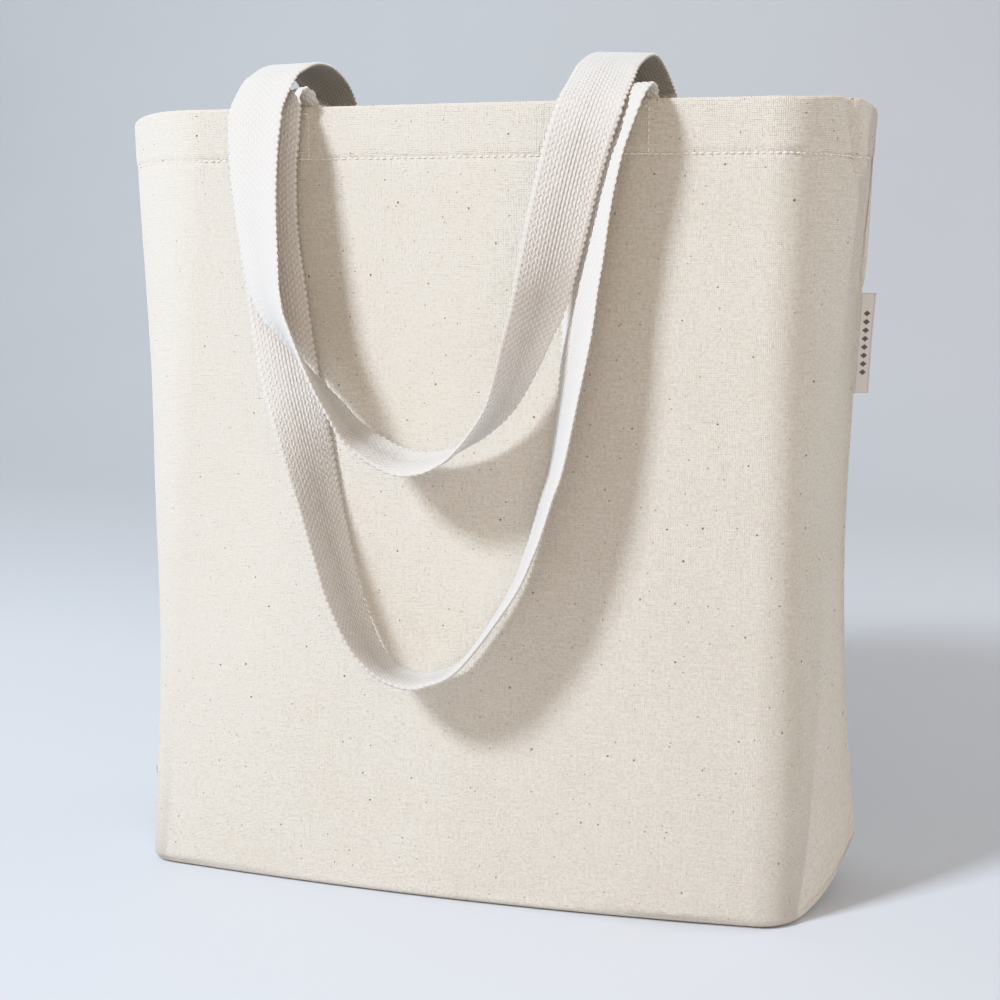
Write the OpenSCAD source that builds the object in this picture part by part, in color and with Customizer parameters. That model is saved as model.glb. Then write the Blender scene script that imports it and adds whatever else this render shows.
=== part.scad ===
// Canvas tote bag with a boxed base, turned rim hems and two webbing handles that hang over the front.
// The bag stands on z = 0, +X is its right side and the front faces -Y.

/* [Bag] */
// Height of the rim above the floor
bag_height = 406; // [390:1:420]
// Width of the front face at the floor, between the two boxed corners
base_width = 340; // [330:1:350]
// Depth of the base, front to back
base_depth = 120; // [112:1:124]
// Half width between the side seams at the rim
rim_half_width = 198.5; // [190:0.5:206]
// Half width of the flat left corner at the rim
left_corner = 164; // [158:1:180]
// Half width of the full right corner at the rim
right_corner = 174; // [164:1:190]
// How far the right corner stands up above the rim
corner_peak = 3; // [0:0.5:4]
// Half width between the side seams at the waist
waist_half_width = 191.5; // [188:0.5:195]
// Half width between the side seams at their feet
foot_half_width = 203; // [199:0.5:206]
// Height of the waist, where the sides are narrowest
waist_height = 205; // [180:1:230]
// Height of the foot of each side seam, where the boxed corner lifts off the floor
corner_lift = 32; // [24:1:38]
// How late the boxed corner rises from the floor to its seam
corner_rise = 2.6; // [1:0.1:4]
// How suddenly the left side seam flares at its foot
left_flare = 6; // [1.5:0.1:8]
// How suddenly the right side seam flares at its foot
right_flare = 1.9; // [1.5:0.1:8]
// How far the front of the rim stands out from the side seams
front_rim_depth = 63; // [60:0.5:66]
// How far the back of the rim stands out from the side seams
back_rim_depth = 26; // [24:0.5:32]
// How far the side seam dips at the rim
seam_dip = 3; // [0:0.5:6]

/* [Canvas] */
// Thickness of the canvas
canvas = 1.2; // [0.8:0.1:1.4]
// Depth of the hem turned to the inside of the rim
hem_depth = 28; // [24:1:32]
// Width of a seam allowance standing inside the bag
allowance = 9; // [6:1:12]
// Outward bow of the faces at the floor
foot_bow = 8; // [4:1:10]
// Outward bow of the faces at the rim
rim_bow = 2.5; // [0:0.5:4]

/* [Handles] */
// Width of the webbing
webbing_width = 30; // [25:1:32]
// Thickness of the webbing
webbing = 2; // [1.5:0.1:2.2]

/* [Label] */
// Length of the side label along the seam
label_length = 50; // [40:1:55]
// How far the side label stands out of the seam
label_width = 8; // [6:1:14]
// Height of the label's middle
label_height = 291; // [260:1:320]
// Angle by which the label leans to the back
label_lean = 20; // [0:1:40]

/* [Hidden] */

FRONT = -1;
BACK = 1;
seam_gap = 0.6;     // half the gap between the two panels, filled by the seam allowances
layer_gap = 0.05;   // air between two layers of cloth
thread = 0.7;       // thickness of the sewing thread
edge_round = 6;     // radius of the fold between a face and the base
seam_ply = 0.8;     // thickness of the two allowances sewn together

// Part of a quarter section, counted from the middle of a face, where its round corner starts and ends
corner_start = 0.4;
corner_end = 0.8;

// Share of a face's half width that the round corners take at the rim
left_roundness = 0.2;
right_roundness = 0.14;

hem_end = 0.84;     // place on the quarter section where the turned hem stops, short of the side seam
edge_clear = 0.3;   // least distance of the cloth's inner surface from the seam plane

function mix(a, b, t) = a + (b - a) * t;
function clamp01(t) = min(1, max(0, t));
function smooth(t) = let (c = clamp01(t)) c * c * (3 - 2 * c);
function unit(v) = v / max(norm(v), 1e-9);

// Half width of the bag at the left (-1) or right (1) side seam
function seam_x(z, sign) = z > waist_height
    ? mix(waist_half_width, rim_half_width, pow(clamp01((z - waist_height) / (bag_height - waist_height)), 1.5))
    : mix(waist_half_width, foot_half_width,
          pow(clamp01((waist_height - z) / (waist_height - corner_lift)), sign < 0 ? left_flare : right_flare));

function rim_depth(side) = side == FRONT ? front_rim_depth : back_rim_depth;
function face_bow(t) = mix(foot_bow, rim_bow, t) + 8 * t * (1 - t);

// Point [x, y] of a quarter section at height z; q runs from 0 at a face's middle to 1 at the side seam
function section(q, z, side, sign) =
    let (
        t = clamp01(z / bag_height),
        soft = pow(t, 0.8),
        roundness = sign < 0 ? left_roundness : right_roundness,
        kx = mix(base_width / 2, sign < 0 ? left_corner : right_corner, t),
        ky = mix(base_depth / 2, rim_depth(side), t),
        middle = [0, ky],
        corner = [kx, ky],
        seam = [seam_x(z, sign), 0],
        a = mix(corner, middle, mix(0.04, roundness, soft)),
        b = mix(corner, seam, mix(0.08, 0.85, soft)),
        u = clamp01((q - corner_start) / (corner_end - corner_start)),
        p = q < corner_start ? mix(middle, a, q / corner_start)
          : q < corner_end ? (1 - u) * (1 - u) * a + 2 * u * (1 - u) * corner + u * u * b
          : mix(b, seam, (q - corner_end) / (1 - corner_end)),
        bow = face_bow(t) * max(0, 1 - pow(p[0] / kx, 2))
    )
    [p[0], side * max(seam_gap, p[1] + bow)];

// Share of the way along the boxed corner's seam, and the height of the base's edge there
function boxed(q) = clamp01((q - 0.76) / 0.24);
function foot_z(q) = corner_lift * pow(boxed(q), corner_rise);
function rim_z(q, sign) =
    let (toward_seam = clamp01((q - 0.5) / 0.5), peak = sign < 0 ? 0 : corner_peak)
    bag_height - seam_dip * smooth(toward_seam) + peak * pow(sin(180 * toward_seam), 2);

// Columns of the panel grid from the left seam to the right seam, as [sign, q]
half_columns = [for (i = [0:4]) i * corner_start / 4,
                for (i = [1:8]) corner_start + i * (corner_end - corner_start) / 8,
                for (i = [1:4]) corner_end + i * (1 - corner_end) / 4];
columns = [for (i = [len(half_columns) - 1:-1:1]) [-1, half_columns[i]],
           for (q = half_columns) [1, q]];

function wall_point(column, z, side) =
    let (p = section(column[1], z, side, column[0])) [column[0] * p[0], p[1], z];

// One column of a panel: across half the base, round the fold and up to the rim
function panel_column(column, side) =
    let (
        q = column[1],
        foot = foot_z(q),
        edge = wall_point(column, foot, side),
        depth = max(abs(edge[1]), seam_gap + 1.2),
        fold = min(mix(edge_round, 1, boxed(q)), (depth - seam_gap) * 0.6),
        wall_rows = 14
    )
    [
        for (f = [0, 0.35, 0.7, 1]) [edge[0], side * mix(seam_gap, depth - fold, f), foot],
        [edge[0], side * (depth - 0.3 * fold), foot + 0.3 * fold],
        for (k = [0:wall_rows]) wall_point(column, mix(foot + fold, rim_z(q, column[0]), k / wall_rows), side)
    ];

// Closed solid between two copies of a grid, moved inwards along its normals
function grid_normal(g, i, j) =
    let (
        n = len(g) - 1,
        m = len(g[0]) - 1,
        du = g[min(i + 1, n)][j] - g[max(i - 1, 0)][j],
        dv = g[i][min(j + 1, m)] - g[i][max(j - 1, 0)]
    )
    unit(cross(du, dv));

module cloth(g, outer, inner, side) {
    n = len(g);
    m = len(g[0]);
    points = [
        for (depth = [outer, inner], i = [0:n - 1], j = [0:m - 1])
            let (p = g[i][j] + side * depth * grid_normal(g, i, j))
            [p[0], side * max(edge_clear, side * p[1]), p[2]]
    ];
    quads = [
        for (i = [0:n - 2], j = [0:m - 2]) [i * m + j, (i + 1) * m + j, (i + 1) * m + j + 1, i * m + j + 1]
    ];
    back = n * m;
    rims = concat(
        [for (i = [0:n - 2]) [i * m, i * m + back, (i + 1) * m + back, (i + 1) * m]],
        [for (i = [0:n - 2]) [(i + 1) * m + m - 1, (i + 1) * m + m - 1 + back, i * m + m - 1 + back, i * m + m - 1]],
        [for (j = [0:m - 2]) [j + 1, j + 1 + back, j + back, j]],
        [for (j = [0:m - 2]) [(n - 1) * m + j, (n - 1) * m + j + back, (n - 1) * m + j + 1 + back, (n - 1) * m + j + 1]]
    );
    faces = concat(quads, [for (f = quads) [f[3] + back, f[2] + back, f[1] + back, f[0] + back]], rims);
    triangles = [for (f = faces) each [[f[0], f[1], f[2]], [f[0], f[2], f[3]]]];
    polyhedron(points, side == FRONT ? [for (f = triangles) [f[2], f[1], f[0]]] : triangles);
}

// Flat strip swept along stations of [centre, half width vector, half thickness vector]
module strip(stations) {
    n = len(stations);
    points = [
        for (s = stations)
            each [s[0] - s[1] - s[2], s[0] + s[1] - s[2], s[0] + s[1] + s[2], s[0] - s[1] + s[2]]
    ];
    sides = [
        for (i = [0:n - 2], k = [0:3])
            let (a = i * 4 + k, b = i * 4 + (k + 1) % 4)
            each [[a, a + 4, b + 4], [a, b + 4, b]]
    ];
    last = (n - 1) * 4;
    caps = [[0, 1, 2], [0, 2, 3], [last, last + 2, last + 1], [last, last + 3, last + 2]];
    polyhedron(points, concat(sides, caps));
}

// Smooth curve through a list of stations, with extra steps between them
function spline_at(p, i, t) =
    let (
        n = len(p) - 1,
        a = i > 0 ? p[i - 1] : 2 * p[0] - p[1],
        b = p[i],
        c = p[i + 1],
        d = i + 2 <= n ? p[i + 2] : 2 * p[n] - p[n - 1]
    )
    0.5 * (2 * b + (c - a) * t + (2 * a - 5 * b + 4 * c - d) * t * t + (3 * b - a - 3 * c + d) * t * t * t);
function spline(p, steps) = [
    for (i = [0:len(p) - 2], k = [0:steps - 1]) spline_at(p, i, k / steps),
    p[len(p) - 1]
];

// Webbing along a route of [x, y, z, azimuth, tilt], the last two giving its width's direction
module webbing_strip(route) {
    path = spline(route, 2);
    n = len(path) - 1;
    strip([
        for (i = [0:n])
            let (
                centre = [path[i][0], path[i][1], path[i][2]],
                ahead = path[min(i + 1, n)],
                behind = path[max(i - 1, 0)],
                along = unit([ahead[0] - behind[0], ahead[1] - behind[1], ahead[2] - behind[2]]),
                azimuth = path[i][3],
                tilt = path[i][4],
                wish = [cos(azimuth) * cos(tilt), sin(azimuth) * cos(tilt), sin(tilt)],
                across = unit(wish - (wish * along) * along),
                normal = cross(along, across)
            )
            [centre, across * webbing_width / 2, normal * webbing / 2]
    ]);
}

// Routes of the two handles, from the left sewn end to the right one
front_left_route = [
    [-82, -60.7, 379, 0, 0], [-82, -60.7, 394, 0, 0], [-82, -60.7, 405, 0, 0], [-82.5, -62.8, 410.3, 1, 0],
    [-84, -66.8, 412.3, 4, 3], [-85.8, -71, 410.6, 9, 8], [-87.3, -74.2, 403.5, 15, 4]
];
front_loop_route = [
    [-88.5, -74.6, 391, 19, 0], [-90, -74.8, 376, 20, 0], [-90, -75, 347, 22, 0], [-86.5, -75.3, 318, 23, 0],
    [-83, -75.8, 293, 25, 0], [-79, -77, 272, 30, -1], [-73, -79.8, 250, 42, -3], [-63, -83.3, 214, 60, -7],
    [-56.5, -84.2, 189, 66, -9], [-49.5, -85, 164, 70, -10], [-39, -85.8, 141, 76, -10], [-28, -86.4, 129.5, 84, -6],
    [-17, -86.6, 125.5, 90, -3], [-6, -86.6, 126.5, 95, -3], [11, -86.4, 136, 99, -7], [34.5, -85.7, 170, 107, -11],
    [45.5, -85.2, 195, 110, -11], [53, -84.7, 220, 112, -9], [57.5, -84.2, 236, 114, -8], [62.5, -83.2, 267, 119, -6],
    [65, -82.4, 286, 124, -4], [66.5, -81.6, 301, 129, -2], [67.8, -80.6, 319, 133, -1], [69.5, -80, 333, 135, 0],
    [73, -79.4, 360, 136, 1], [77, -78.8, 380, 137, 1], [79.5, -78, 390, 140, 1]
];
front_right_route = [
    [82.5, -75.7, 402, 147, 1], [84, -71.5, 409, 158, 0], [85, -66.8, 411.8, 170, 0],
    [85.3, -62.8, 409.8, 178, 0], [85.5, -61.2, 404, 180, 0], [85.5, -61.2, 394, 180, 0], [85.5, -61.2, 379, 180, 0]
];
back_left_route = [
    [-92, 23, 379, 0, 0], [-92, 23, 394, 0, 0], [-92, 23, 405, 0, 0], [-92, 22.3, 412, 0, -1],
    [-91.7, 19.7, 418, 0, -2]
];
bridge_left_route = [
    [-91, 5, 426, 0, -3], [-90.5, -17, 430.5, 0, -2], [-90, -40, 428.5, 0, 3], [-89.5, -60, 422.5, -1, 6],
    [-90, -69, 417.8, -3, 6]
];
back_loop_route = [
    [-91.2, -81.5, 405, -6, 3], [-91, -85.2, 397, -9, 0], [-91.2, -87.2, 385, -14, 0], [-90.2, -89.8, 361, -23, 0],
    [-87.8, -91.5, 337, -31, 0], [-85.3, -92.9, 320, -37, 0], [-80.8, -93.9, 308, -44, 0], [-74.5, -94.4, 297.5, -54, 0],
    [-66, -94.4, 284, -66, 0], [-57.5, -94, 271.5, -77, -2], [-50, -93.5, 261.5, -82, -8], [-42, -93, 251, -84, -15],
    [-32.5, -92.5, 243.5, -84, -18], [-18, -92, 236.5, -83, -17], [-6, -91.7, 236, -81, -11], [5, -91.6, 239.5, -81, -4],
    [12, -91.5, 243.5, -83, 3], [20, -91.3, 250, -89, 9], [30, -91, 261.5, -101, 9], [36, -90.7, 273, -112, 5],
    [41.5, -90.3, 288, -124, 1], [46, -90, 301, -132, 0], [50, -89.8, 313, -142, 0], [56.5, -89.8, 341, -155, 0],
    [61, -90.5, 360, -160, 1], [65.3, -90.4, 377, -163, 1], [69, -89.8, 390, -165, 0], [71.5, -86.5, 399, -167, 0],
    [73.3, -82, 406, -169, 0]
];
bridge_right_route = [
    [75, -68, 416, -172, 0], [75.5, -57, 422, -176, 1], [77, -35, 429, -179, 2], [78.5, -15, 431.3, -180, 3],
    [80.5, 5, 426, -180, 2]
];
back_right_route = [
    [82.5, 19.7, 418, 180, 1], [83.5, 22.7, 412, 180, 0], [84, 23.8, 405, 180, 0], [84, 23.8, 394, 180, 0],
    [84, 23.8, 379, 180, 0]
];
front_left_x = -82;
front_right_x = 85.5;
back_left_x = -92;
back_right_x = 84;
// Just off the inner faces of the handles at their sewn ends
front_left_inner_y = -59.5;
front_right_inner_y = -60;
back_left_inner_y = 21.8;
back_right_inner_y = 22.6;
box_stitch_inset = 4;
sewn_bottom = 381;
sewn_top = 403;

module front_panel() {
    color("antiquewhite")
        cloth([for (c = columns) panel_column(c, FRONT)], 0, canvas, FRONT);
}

module back_panel() {
    color("antiquewhite")
        cloth([for (c = columns) panel_column(c, BACK)], 0, canvas, BACK);
}

// Turned edge of a panel, lying against its inner side
module hem(side) {
    rows = 4;
    grid = [
        for (c = columns)
            if (c[1] < hem_end)
                [for (k = [0:rows]) wall_point(c, rim_z(c[1], c[0]) - hem_depth * (1 - k / rows) - 0.4, side)]
    ];
    color("linen")
        cloth(grid, canvas + layer_gap, 2 * canvas + layer_gap, side);
}

// Row of thread along the outside of a panel, where it holds the hem down
module hem_stitching(side) {
    inset = 0.03;
    row_end = 0.97;
    color("ivory")
        strip([
            for (c = columns)
                if (c[1] < row_end)
                    let (
                        p = wall_point(c, rim_z(c[1], c[0]) - hem_depth + 3, side),
                        next = wall_point(c, rim_z(c[1], c[0]) - hem_depth + 4, side),
                        near = wall_point([c[0], c[1] + 0.02], p[2], side) - wall_point([c[0], c[1] - 0.02], p[2], side),
                        out = unit(cross(c[0] * near, next - p)) * -side
                    )
                    [p + out * (thread / 2 + inset), (next - p) * thread / 2, -side * out * thread / 2]
        ]);
}

// Overlocked allowance of a side seam, standing into the bag
module side_seam(sign) {
    rows = 10;
    low = corner_lift + 12;
    high = bag_height - hem_depth - 8;
    start = canvas + 0.5;
    color("wheat")
        strip([
            for (k = [0:rows])
                let (z = mix(low, high, k / rows), x = seam_x(z, sign) - start - allowance / 2)
                [[sign * x, 0, z], [sign * allowance / 2, 0, 0], [0, seam_ply / 2, 0]]
        ]);
}

// Overlocked allowance of a boxed corner, inside the bag along the edge of the base
module corner_seam(sign) {
    steps = 6;
    first = 0.82;
    rise = 6.5;
    inward = 9;
    path = [
        for (k = [0:steps]) [mix(first, 1, k / steps), FRONT],
        for (k = [steps - 1:-1:0]) [mix(first, 1, k / steps), BACK]
    ];
    color("wheat")
        strip([
            for (p = path)
                let (
                    foot = foot_z(p[0]),
                    e = section(p[0], foot, p[1], sign),
                    c = [e[0] - inward, e[1] * 0.78, foot + rise + canvas],
                    up = unit([-0.35, 0, 1]),
                    thick = [1, 0, 0.35]
                )
                [[sign * c[0], c[1], c[2]], [sign * up[0], 0, up[2]] * allowance / 2,
                 sign * unit([sign * thick[0], 0, thick[2]]) * seam_ply / 2]
        ]);
}

// Overlocked allowance along the middle of the base
module bottom_seam() {
    length = base_width - 36;
    color("wheat")
        translate([-length / 2, -seam_ply / 2, 0])
            cube([length, seam_ply, allowance]);
}

// Square of stitches that holds a handle's end to the hem
module box_stitching(x, y, side) {
    half = webbing_width / 2 - box_stitch_inset;
    face = side == FRONT ? y : y - thread;
    color("ivory")
        difference() {
            translate([x - half, face, sewn_bottom])
                cube([2 * half, thread, sewn_top - sewn_bottom]);
            translate([x - half + thread, face - 1, sewn_bottom + thread])
                cube([2 * (half - thread), thread + 2, sewn_top - sewn_bottom - 2 * thread]);
        }
}

module side_label() {
    gap = 0.8;
    thick = 0.8;
    foot = label_height - label_length / 2;
    x = seam_x(label_height, 1) + gap;
    slope = seam_x(foot + label_length, 1) - seam_x(foot, 1);
    color("gainsboro")
        translate([x, 0, foot])
            multmatrix([[1, 0, slope / label_length, 0], [0, 1, 0, 0], [0, 0, 1, 0]])
                rotate([0, 0, label_lean])
                    translate([0, -thick / 2, 0])
                        cube([label_width, thick, label_length]);
}

module webbing_piece(route) {
    color("white")
        webbing_strip(route);
}

front_panel();
back_panel();
hem(FRONT);  // front_hem
hem(BACK);  // back_hem
side_seam(-1);  // left_side_seam
side_seam(1);  // right_side_seam
corner_seam(-1);  // left_corner_seam
corner_seam(1);  // right_corner_seam
bottom_seam();
hem_stitching(FRONT);  // front_hem_stitching
hem_stitching(BACK);  // back_hem_stitching
webbing_piece(front_left_route);  // front_handle_left_end
webbing_piece(front_right_route);  // front_handle_right_end
webbing_piece(front_loop_route);  // front_handle_loop
webbing_piece(back_left_route);  // back_handle_left_end
webbing_piece(back_right_route);  // back_handle_right_end
webbing_piece(bridge_left_route);  // back_handle_left_bridge
webbing_piece(bridge_right_route);  // back_handle_right_bridge
webbing_piece(back_loop_route);  // back_handle_loop
box_stitching(front_left_x, front_left_inner_y, FRONT);  // front_left_box_stitching
box_stitching(front_right_x, front_right_inner_y, FRONT);  // front_right_box_stitching
box_stitching(back_left_x, back_left_inner_y, BACK);  // back_left_box_stitching
box_stitching(back_right_x, back_right_inner_y, BACK);  // back_right_box_stitching
side_label();
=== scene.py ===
"""Canvas tote bag: woven canvas panels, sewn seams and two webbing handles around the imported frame."""

import math

import bpy
import numpy as np
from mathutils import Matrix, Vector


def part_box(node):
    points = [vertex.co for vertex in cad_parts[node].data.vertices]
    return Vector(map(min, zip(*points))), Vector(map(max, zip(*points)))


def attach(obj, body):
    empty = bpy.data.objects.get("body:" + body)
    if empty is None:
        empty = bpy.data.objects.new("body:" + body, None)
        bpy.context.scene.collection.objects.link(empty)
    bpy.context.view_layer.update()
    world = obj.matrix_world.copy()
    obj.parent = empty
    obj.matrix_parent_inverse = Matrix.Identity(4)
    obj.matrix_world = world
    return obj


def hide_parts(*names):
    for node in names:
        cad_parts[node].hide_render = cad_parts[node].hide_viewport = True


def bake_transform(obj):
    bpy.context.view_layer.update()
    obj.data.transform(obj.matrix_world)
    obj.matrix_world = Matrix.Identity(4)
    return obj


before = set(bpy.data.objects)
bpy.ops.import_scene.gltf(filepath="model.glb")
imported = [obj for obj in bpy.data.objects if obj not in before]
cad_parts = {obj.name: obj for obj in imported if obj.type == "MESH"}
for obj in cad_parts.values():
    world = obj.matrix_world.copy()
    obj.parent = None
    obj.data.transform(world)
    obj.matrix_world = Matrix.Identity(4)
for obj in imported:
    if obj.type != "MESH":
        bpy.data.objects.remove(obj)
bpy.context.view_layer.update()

MM = 0.001
FRONT = -1
BACK = 1
SEED = 11

# The bag's driving dimensions, in metres, as in the part's source
HEIGHT = 0.406           # rim above the floor
HALF_BASE = 0.170        # middle of the front face to its corner at the floor
HALF_DEPTH = 0.060       # seam plane to a face at the floor
RIM_HALF = 0.1985        # middle to a side seam at the rim
WAIST_HALF = 0.1915      # middle to a side seam at the waist
FOOT_HALF = 0.203        # middle to a side seam at its foot
WAIST_Z = 0.205
CORNER_LIFT = 0.032      # height of the side seam's foot
CORNER_RISE = 2.6        # how late the boxed corner rises to its seam
LEFT_FLARE = 6.0         # how suddenly each side seam flares at its foot
RIGHT_FLARE = 1.9
LEFT_CORNER = 0.164      # middle of the face to each corner at the rim
RIGHT_CORNER = 0.174
LEFT_SOFTNESS = 0.20     # share of the face that each round corner takes at the rim
RIGHT_SOFTNESS = 0.14
RIM_SIDE = 0.85          # share of the side that both take at the rim
RIM_PEAK = 0.003         # how far the right corner stands up above the rim
RIM_DEPTH = {FRONT: 0.063, BACK: 0.026}
SEAM_DIP = 0.003
FOOT_BOW = 0.008         # outward bow of the faces at the floor, half way up and at the rim
MIDDLE_BOW = 0.008
RIM_BOW = 0.0025
EDGE_ROUND = 0.006
CORNER_START = 0.4       # where on a quarter section its round corner starts and ends
CORNER_END = 0.8
BOX_START = 0.76         # where on a quarter section the boxed corner starts to rise

# The cloth's lower corners, which are a little softer or fuller than the solids'
LEFT_FOOT_FACE = 0.04    # share of the face that each round corner takes at the floor
RIGHT_FOOT_FACE = 0.085
LEFT_FOOT_SIDE = 0.08    # share of the side that each takes at the floor
RIGHT_FOOT_SIDE = 0.2
LEFT_SPREAD = 0.005      # how far the left corner's foot stands out

# Cloth
CANVAS = 0.0012
LAYER_GAP = 0.00005
HEM_DEPTH = 0.028
STITCH_LINE = 0.025      # hem stitching, below the rim
SEAM_EDGE = 0.0016       # outer surface's distance from the seam plane, where it starts to turn in
MEETING = 0.00065        # centre of the cloth's distance from the seam plane, once turned in
ALLOWANCE = 0.009
HALF_COLUMNS = 118
WALL_ROWS = 176
HEM_ROWS = 16
SECTION_STEPS = 800      # fine steps of a section, for measuring along the cloth
TURNED_COLUMNS = 5       # columns of cloth turned into the bag at each side seam
TURNED_STEP = 0.0006

# Thread
THREAD = 0.0007
STITCH_RADIUS = 0.00043
STITCH_LIFT = 0.00045    # how far a stitch's middle stands out of the cloth
STITCH_SINK = 0.0003     # how far its ends go in
OVERLOCK_PITCH = 0.0021

# Webbing
WEBBING_WIDTH = 0.030
WEBBING_HALF = 0.0009
GRAIN_COLUMNS = 17
GRAIN_LENGTH = 0.00335
GRAIN_RISE = 0.0006
ROWS_PER_GRAIN = 6
SCALLOP = 0.0009         # how far the edge draws in between two grains

# Side label
LABEL_WIDTH = 0.008      # from the fold to the seam
LABEL_LENGTH = 0.050
LABEL_LEAN = math.radians(20)
LABEL_ROWS = 60
DIAMOND_PITCH = 0.0042


# ---------------------------------------------------------------- small mathematics
def mix(a, b, t):
    return a + (b - a) * t


def smooth(t):
    t = np.clip(t, 0, 1)
    return t * t * (3 - 2 * t)


def unit(v):
    return v / np.maximum(np.linalg.norm(v, axis=-1, keepdims=True), 1e-12)


def xyz(x, y, z):
    return np.stack(np.broadcast_arrays(x, y, z), axis=-1).astype(float)


def by_half(sign, left, right):
    """One value for the left half of the bag, where sign is negative, and one for the right half."""
    return np.where(np.asarray(sign) < 0, left, right)


def path_length(points):
    """Distance along a row of points to each of them."""
    return np.concatenate([[0], np.cumsum(np.linalg.norm(np.diff(points, axis=0), axis=1))])


# ---------------------------------------------------------------- the bag's surface
def seam_x(z, sign):
    """Distance from the middle of the bag to a side seam at height z."""
    flare = by_half(sign, LEFT_FLARE, RIGHT_FLARE)
    above = np.clip((z - WAIST_Z) / (HEIGHT - WAIST_Z), 0, 1) ** 1.5
    below = np.clip((WAIST_Z - z) / (WAIST_Z - CORNER_LIFT), 0, 1) ** flare
    return np.where(z > WAIST_Z, mix(WAIST_HALF, RIM_HALF, above), mix(WAIST_HALF, FOOT_HALF, below))


def section(q, z, side, sign=1.0):
    """Point (x, y) of a quarter section at height z; q is 0 at a face's middle and 1 at the side seam."""
    q, z, sign = np.broadcast_arrays(q, z, sign)
    t = np.clip(z / HEIGHT, 0, 1)
    soft = t ** 0.8
    spread = by_half(sign, LEFT_SPREAD, 0.0) * (1 - t) ** 4
    corner_x = mix(HALF_BASE, by_half(sign, LEFT_CORNER, RIGHT_CORNER), t) + spread
    corner_y = mix(HALF_DEPTH, RIM_DEPTH[side], t)
    foot_face = by_half(sign, LEFT_FOOT_FACE, RIGHT_FOOT_FACE)
    on_face = mix(foot_face, by_half(sign, LEFT_SOFTNESS, RIGHT_SOFTNESS), soft)
    on_side = mix(by_half(sign, LEFT_FOOT_SIDE, RIGHT_FOOT_SIDE), RIM_SIDE, soft)
    face_x = mix(corner_x, 0, on_face)
    side_x = mix(corner_x, seam_x(z, sign), on_side)
    side_y = mix(corner_y, 0, on_side)
    u = np.clip((q - CORNER_START) / (CORNER_END - CORNER_START), 0, 1)
    near = q / CORNER_START
    far = (q - CORNER_END) / (1 - CORNER_END)
    round_x = (1 - u) ** 2 * face_x + 2 * u * (1 - u) * corner_x + u * u * side_x
    round_y = (1 - u) ** 2 * corner_y + 2 * u * (1 - u) * corner_y + u * u * side_y
    beyond_x = np.where(q < CORNER_END, round_x, mix(side_x, seam_x(z, sign), far))
    beyond_y = np.where(q < CORNER_END, round_y, mix(side_y, 0, far))
    x = np.where(q < CORNER_START, mix(0, face_x, near), beyond_x)
    y = np.where(q < CORNER_START, corner_y, beyond_y)
    bow = (mix(FOOT_BOW, RIM_BOW, t) + MIDDLE_BOW * t * (1 - t)) * np.maximum(0, 1 - (x / corner_x) ** 2)
    return x, side * np.maximum(SEAM_EDGE, y + bow)


def boxed(q):
    """Share of the way along the boxed corner, 0 where it starts and 1 at its seam."""
    return np.clip((q - BOX_START) / (1 - BOX_START), 0, 1)


def foot_z(q):
    """Height of the lower edge of the wall."""
    return CORNER_LIFT * boxed(q) ** CORNER_RISE


def rim_z(q, sign):
    """Height of the rim: it dips at the seams, and the right corner stands up a little before its seam."""
    toward_seam = np.clip((q - 0.5) / 0.5, 0, 1)
    peak = by_half(sign, 0, RIM_PEAK) * np.sin(math.pi * toward_seam) ** 2
    return HEIGHT - SEAM_DIP * smooth(toward_seam) + peak


def wall_point(sign, q, z, side):
    x, y = section(q, z, side, sign)
    return xyz(sign * x, y, z)


def wall_normal(sign, q, z, side):
    """Direction straight out of the wall."""
    step = 1e-3
    ahead = wall_point(sign, np.clip(q + step, 0, 1), z, side)
    before = wall_point(sign, np.clip(q - step, 0, 1), z, side)
    up = wall_point(sign, q, z + step, side) - wall_point(sign, q, z - step, side)
    return unit(np.cross(sign[..., None] * (ahead - before), up)) * -side


def arc_table(z, side, sign):
    """Fine section parameters at height z and the distance along the cloth to each."""
    fine = np.linspace(0, 1, SECTION_STEPS + 1)
    x, y = section(fine, z, side, sign)
    return fine, np.concatenate([[0], np.cumsum(np.hypot(np.diff(x), np.diff(y)))])


def soft_waves(u, z, side):
    """Long shallow undulations of the cloth, as the sum of seeded waves."""
    waves = 16
    gain = 0.0042
    draw = np.random.default_rng(SEED + side)
    total = np.zeros(np.broadcast(u, z).shape)
    for _ in range(waves):
        length = draw.uniform(0.06, 0.24)
        angle = draw.uniform(-0.9, 0.9)
        phase = draw.uniform(0, 2 * math.pi)
        along = u * math.cos(angle) + z * math.sin(angle)
        total += length ** 1.3 * np.sin(2 * math.pi * along / length + phase)
    return gain * total


def hem_relief(u, z):
    """The stitched line that holds the hem, its puckers and the fuller cloth above it."""
    valley_depth = 0.00055
    valley_width = 0.0015
    fullness = 0.0006
    fine_pucker = 0.00012
    coarse_pucker = 0.0002
    above = z - (HEIGHT - STITCH_LINE)
    valley = -valley_depth * np.exp(-(above / valley_width) ** 2)
    fuller = fullness * smooth(above / 0.004)
    reach = np.exp(-np.abs(above) / 0.006)
    fine = fine_pucker * np.sin(u / 0.0011) * reach
    coarse = coarse_pucker * np.sin(u / 0.0031 + 2 * np.sin(u / 0.017)) * reach
    return valley + fuller + (fine + coarse)


def back_fullness(sign, depth, z):
    """The back panel puffs out just behind the side seam, most on the right and above the label."""
    left_puff = 0.0008
    low_puff = 0.0012
    high_puff = 0.0072
    high_z = 0.293
    last_depth = 0.034
    floor_z = 0.03
    right_puff = mix(low_puff, high_puff, smooth((z - high_z) / 0.04))
    from_seam = smooth((depth - SEAM_EDGE) / 0.005)
    to_face = smooth((last_depth - depth) / 0.024)
    from_floor = smooth((z - floor_z) / 0.06)
    return by_half(sign, left_puff, right_puff) * (from_seam * to_face * from_floor)


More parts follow.
